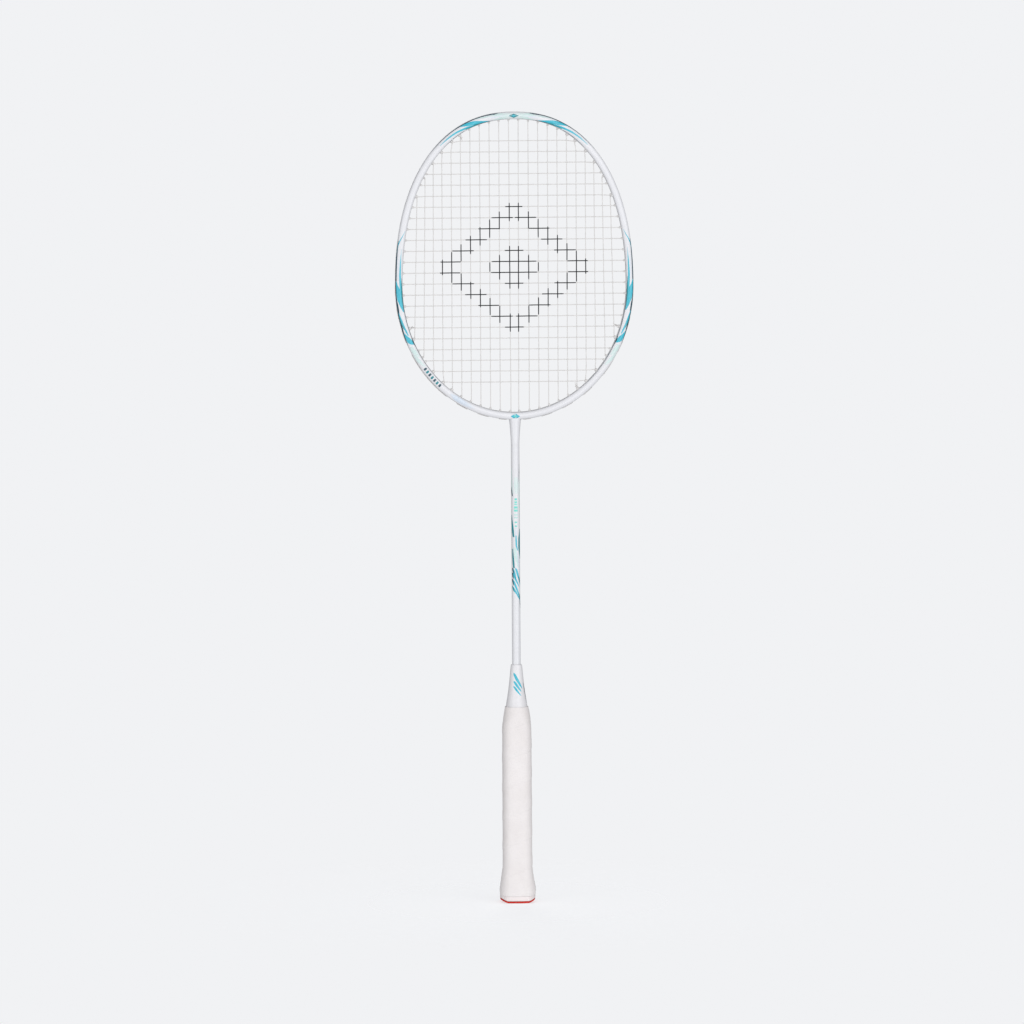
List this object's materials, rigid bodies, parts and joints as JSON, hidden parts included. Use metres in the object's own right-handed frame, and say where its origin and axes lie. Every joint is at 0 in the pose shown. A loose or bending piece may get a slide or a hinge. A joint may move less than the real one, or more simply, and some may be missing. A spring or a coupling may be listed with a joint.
{
  "type": "badminton racket",
  "caption": "Adult badminton racket: oval strung head on a thin round shaft, with a turned cone and a wrapped eight-sided handle that flares at the butt.",
  "frame": {"origin": "middle of the flat butt end, under the handle's axis", "axes": "+Z along the shaft from the butt to the tip of the head; the string face lies in XZ and its front faces -Y; +X across the head"},
  "size_m": [0.2033, 0.0274, 0.6749],
  "materials": {
    "frame_paint": "white pearl lacquer with cyan and teal line graphics, gloss",
    "joint_graphite": "bare graphite composite",
    "shaft_paint": "white lacquer with cyan and teal slashes, gloss",
    "cone_plastic": "satin white moulded plastic with three cyan slashes",
    "handle_wood": "bare light wood",
    "grip": "white polyurethane wrap, matte, fine pores",
    "cap_plastic": "satin white moulded plastic",
    "end_red": "satin red",
    "string": "white nylon string with a black stencil, satin",
    "grommet": "pale nylon"
  },
  "bodies": {
    "root": {"butt_cap": "cap_plastic", "butt_end_plate": "end_red", "cone_cap": "cone_plastic", "cross_string": "string", "grip_wrap": "grip", "grommet_pair_left_01": "grommet", "grommet_pair_left_02": "grommet", "grommet_pair_left_03": "grommet", "grommet_pair_left_04": "grommet", "grommet_pair_left_05": "grommet", "grommet_pair_left_06": "grommet", "grommet_pair_left_07": "grommet", "grommet_pair_left_08": "grommet", "grommet_pair_left_09": "grommet", "grommet_pair_left_10": "grommet", "grommet_pair_left_11": "grommet", "grommet_pair_left_12": "grommet", "grommet_pair_left_13": "grommet", "grommet_pair_left_14": "grommet", "grommet_pair_left_15": "grommet", "grommet_pair_left_16": "grommet", "grommet_pair_left_17": "grommet", "grommet_pair_left_18": "grommet", "grommet_pair_left_19": "grommet", "grommet_pair_right_01": "grommet", "grommet_pair_right_02": "grommet", "grommet_pair_right_03": "grommet", "grommet_pair_right_04": "grommet", "grommet_pair_right_05": "grommet", "grommet_pair_right_06": "grommet", "grommet_pair_right_07": "grommet", "grommet_pair_right_08": "grommet", "grommet_pair_right_09": "grommet", "grommet_pair_right_10": "grommet", "grommet_pair_right_11": "grommet", "grommet_pair_right_12": "grommet", "grommet_pair_right_13": "grommet", "grommet_pair_right_14": "grommet", "grommet_pair_right_15": "grommet", "grommet_pair_right_16": "grommet", "grommet_pair_right_17": "grommet", "grommet_pair_right_18": "grommet", "grommet_pair_right_19": "grommet", "handle_core": "handle_wood", "head_frame": "frame_paint", "main_string": "string", "shaft": "shaft_paint", "t_joint_insert": "joint_graphite"}
  },
  "joints": []
}
